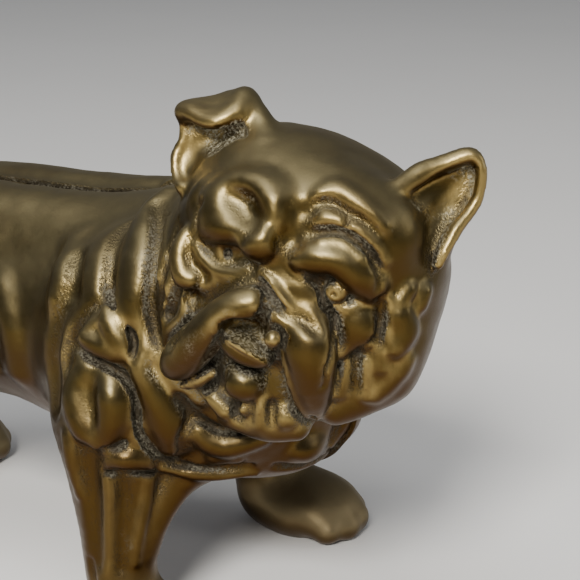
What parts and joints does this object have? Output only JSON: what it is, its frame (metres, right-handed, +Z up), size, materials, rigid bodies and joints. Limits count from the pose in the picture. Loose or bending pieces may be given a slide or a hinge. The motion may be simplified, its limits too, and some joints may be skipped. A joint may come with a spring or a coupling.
{
  "type": "figural animal coin bank",
  "caption": "Cast-brass standing bulldog coin bank with turned head, split lengthwise into two hollow halves clamped by cross screws, coin slot in the back.",
  "frame": {"origin": "on the surface it stands on, under the middle of the whole dog", "axes": "+X towards the dog's chest, +Y towards the dog's left side, +Z up; the head is turned towards -Y"},
  "size_m": [0.2387, 0.116, 0.156],
  "materials": {
    "antique_brass_right": "antiqued cast brass, dark patina in the recesses, rubbed bright on the high spots",
    "antique_brass_left": "antiqued cast brass, the same patina as the other half",
    "screw_brass": "turned brass, slightly tarnished",
    "washer_brass": "stamped brass, tarnished",
    "nut_steel": "plain steel, dull",
    "dowel_steel": "ground steel pin"
  },
  "bodies": {
    "right_half": {"right_half_casting": "antique_brass_right", "front_nut": "nut_steel", "rear_nut": "nut_steel", "front_dowel": "dowel_steel", "rear_dowel": "dowel_steel"},
    "left_half": {"left_half_casting": "antique_brass_left"},
    "front_washer_body": {"front_washer": "washer_brass"},
    "front_screw_body": {"front_clamp_screw": "screw_brass"},
    "rear_washer_body": {"rear_washer": "washer_brass"},
    "rear_screw_body": {"rear_clamp_screw": "screw_brass"}
  },
  "joints": [
    {"name": "left_half_off", "type": "slide", "parent": "right_half", "child": "left_half", "axis": [0, 1, 0], "range_m": [0, 0.06]},
    {"name": "front_screw_back_out", "type": "slide", "parent": "left_half", "child": "front_washer_body", "axis": [0, 1, 0], "range_m": [0, 0.0051]},
    {"name": "front_screw_turn", "type": "hinge", "parent": "front_washer_body", "child": "front_screw_body", "pos_m": [0.0419, 0.0421, 0.0615], "axis": [0, 1, 0], "range_deg": [0, 2295]},
    {"name": "rear_screw_back_out", "type": "slide", "parent": "left_half", "child": "rear_washer_body", "axis": [0, 1, 0], "range_m": [0, 0.0051]},
    {"name": "rear_screw_turn", "type": "hinge", "parent": "rear_washer_body", "child": "rear_screw_body", "pos_m": [-0.0751, 0.0351, 0.0795], "axis": [0, 1, 0], "range_deg": [0, 2295]}
  ],
  "couplings": [
    {"joint": "front_screw_turn", "follows": "front_screw_back_out", "rad_per_m": 7854},
    {"joint": "rear_screw_turn", "follows": "rear_screw_back_out", "rad_per_m": 7854}
  ]
}
